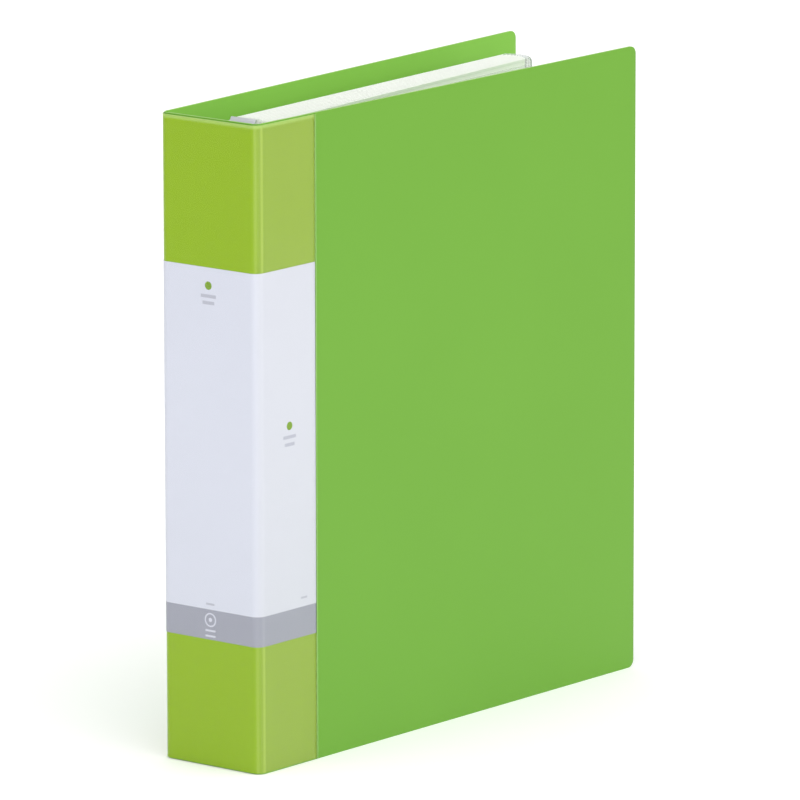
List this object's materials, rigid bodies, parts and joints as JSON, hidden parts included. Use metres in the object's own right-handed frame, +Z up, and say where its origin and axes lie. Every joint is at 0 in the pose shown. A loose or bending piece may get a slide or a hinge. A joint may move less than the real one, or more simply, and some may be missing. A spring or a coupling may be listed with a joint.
{
  "type": "stamp album",
  "caption": "Upright ring-bound stamp album with green plastic covers, a clear-sleeved spine label and punched stock leaves that turn on split wire rings.",
  "frame": {"origin": "centre of the spine board's foot, where the album stands", "axes": "+Z up along the spine, +X from the spine towards the fore edge, front cover on the -Y side"},
  "size_m": [0.279, 0.074, 0.31],
  "materials": {
    "green_sheet": "fine matte grain",
    "lime_liner": "smooth",
    "paper_label": "smooth, with a grey band at the foot",
    "clear_sleeve": "clear and glossy",
    "plate_steel": "nickel plated, satin",
    "ring_wire": "nickel plated, bright",
    "lever_steel": "nickel plated, satin",
    "leaf_card": "smooth white card",
    "pocket_film": "clear and glossy"
  },
  "bodies": {
    "spine": {"spine_board": "green_sheet", "front_hinge_web": "green_sheet", "back_hinge_web": "green_sheet", "liner_spine": "lime_liner", "label_spine": "paper_label", "sleeve_spine": "clear_sleeve", "rivets": "plate_steel", "ring_plate": "plate_steel", "lever_pins": "plate_steel"},
    "front_cover": {"front_cover": "green_sheet", "liner_front_flap": "lime_liner", "label_front_flap": "paper_label", "sleeve_front_flap": "clear_sleeve"},
    "back_cover": {"back_cover": "green_sheet", "liner_back_flap": "lime_liner", "label_back_flap": "paper_label", "sleeve_back_flap": "clear_sleeve"},
    "front_ring_half": {"front_blade": "plate_steel", "front_half_rings": "ring_wire"},
    "back_ring_half": {"back_blade": "plate_steel", "back_half_rings": "ring_wire"},
    "top_lever": {"top_lever": "lever_steel"},
    "bottom_lever": {"bottom_lever": "lever_steel"},
    "leaf_10": {"leaf_10_card": "leaf_card", "leaf_10_pockets": "pocket_film"},
    "leaf_09": {"leaf_09_card": "leaf_card", "leaf_09_pockets": "pocket_film"},
    "leaf_08": {"leaf_08_card": "leaf_card", "leaf_08_pockets": "pocket_film"},
    "leaf_07": {"leaf_07_card": "leaf_card", "leaf_07_pockets": "pocket_film"},
    "leaf_06": {"leaf_06_card": "leaf_card", "leaf_06_pockets": "pocket_film"},
    "leaf_05": {"leaf_05_card": "leaf_card", "leaf_05_pockets": "pocket_film"},
    "leaf_04": {"leaf_04_card": "leaf_card", "leaf_04_pockets": "pocket_film"},
    "leaf_03": {"leaf_03_card": "leaf_card", "leaf_03_pockets": "pocket_film"},
    "leaf_02": {"leaf_02_card": "leaf_card", "leaf_02_pockets": "pocket_film"},
    "leaf_01": {"leaf_01_card": "leaf_card", "leaf_01_pockets": "pocket_film"}
  },
  "joints": [
    {"name": "front_cover_hinge", "type": "hinge", "parent": "spine", "child": "front_cover", "pos_m": [0.00026, -0.02769, 0], "axis": [0, 0, -1], "range_deg": [-3.2, 90]},
    {"name": "back_cover_hinge", "type": "hinge", "parent": "spine", "child": "back_cover", "pos_m": [0.00026, 0.02769, 0], "axis": [0, 0, 1], "range_deg": [-0.3, 90]},
    {"name": "front_ring_swing", "type": "hinge", "parent": "spine", "child": "front_ring_half", "pos_m": [0.003, -0.0106, 0], "axis": [0, 0, -1], "range_deg": [0, 9]},
    {"name": "back_ring_swing", "type": "hinge", "parent": "spine", "child": "back_ring_half", "pos_m": [0.003, 0.0106, 0], "axis": [0, 0, 1], "range_deg": [0, 9]},
    {"name": "top_lever_tilt", "type": "hinge", "parent": "spine", "child": "top_lever", "pos_m": [0.0029, 0, 0.2979], "axis": [0, -1, 0], "range_deg": [0, 9]},
    {"name": "bottom_lever_tilt", "type": "hinge", "parent": "spine", "child": "bottom_lever", "pos_m": [0.0029, 0, 0.0121], "axis": [0, 1, 0], "range_deg": [0, 9]},
    {"name": "leaf_01_turn", "type": "hinge", "parent": "spine", "child": "leaf_01", "pos_m": [0.021, 0, 0], "axis": [0, 0, -1], "range_deg": [-2.2, 59.6]},
    {"name": "leaf_02_turn", "type": "hinge", "parent": "spine", "child": "leaf_02", "pos_m": [0.021, 0, 0], "axis": [0, 0, -1], "range_deg": [-2, 53.5]},
    {"name": "leaf_03_turn", "type": "hinge", "parent": "spine", "child": "leaf_03", "pos_m": [0.021, 0, 0], "axis": [0, 0, -1], "range_deg": [-1.7, 47.4]},
    {"name": "leaf_04_turn", "type": "hinge", "parent": "spine", "child": "leaf_04", "pos_m": [0.021, 0, 0], "axis": [0, 0, -1], "range_deg": [-1.5, 41.3]},
    {"name": "leaf_05_turn", "type": "hinge", "parent": "spine", "child": "leaf_05", "pos_m": [0.021, 0, 0], "axis": [0, 0, -1], "range_deg": [-1.3, 35.2]},
    {"name": "leaf_06_turn", "type": "hinge", "parent": "spine", "child": "leaf_06", "pos_m": [0.021, 0, 0], "axis": [0, 0, -1], "range_deg": [-1.1, 29]},
    {"name": "leaf_07_turn", "type": "hinge", "parent": "spine", "child": "leaf_07", "pos_m": [0.021, 0, 0], "axis": [0, 0, -1], "range_deg": [-0.9, 22.9]},
    {"name": "leaf_08_turn", "type": "hinge", "parent": "spine", "child": "leaf_08", "pos_m": [0.021, 0, 0], "axis": [0, 0, -1], "range_deg": [-0.6, 16.8]},
    {"name": "leaf_09_turn", "type": "hinge", "parent": "spine", "child": "leaf_09", "pos_m": [0.021, 0, 0], "axis": [0, 0, -1], "range_deg": [-0.4, 10.7]},
    {"name": "leaf_10_turn", "type": "hinge", "parent": "spine", "child": "leaf_10", "pos_m": [0.021, 0, 0], "axis": [0, 0, -1], "range_deg": [-0.2, 4.6]}
  ],
  "couplings": [
    {"joint": "back_ring_swing", "follows": "front_ring_swing", "ratio": 1},
    {"joint": "top_lever_tilt", "follows": "front_ring_swing", "ratio": 1},
    {"joint": "bottom_lever_tilt", "follows": "front_ring_swing", "ratio": 1},
    {"joint": "leaf_01_turn", "follows": "front_cover_hinge", "ratio": 0.662},
    {"joint": "leaf_02_turn", "follows": "front_cover_hinge", "ratio": 0.594},
    {"joint": "leaf_03_turn", "follows": "front_cover_hinge", "ratio": 0.526},
    {"joint": "leaf_04_turn", "follows": "front_cover_hinge", "ratio": 0.458},
    {"joint": "leaf_05_turn", "follows": "front_cover_hinge", "ratio": 0.39},
    {"joint": "leaf_06_turn", "follows": "front_cover_hinge", "ratio": 0.322},
    {"joint": "leaf_07_turn", "follows": "front_cover_hinge", "ratio": 0.254},
    {"joint": "leaf_08_turn", "follows": "front_cover_hinge", "ratio": 0.186},
    {"joint": "leaf_09_turn", "follows": "front_cover_hinge", "ratio": 0.118},
    {"joint": "leaf_10_turn", "follows": "front_cover_hinge", "ratio": 0.05}
  ]
}
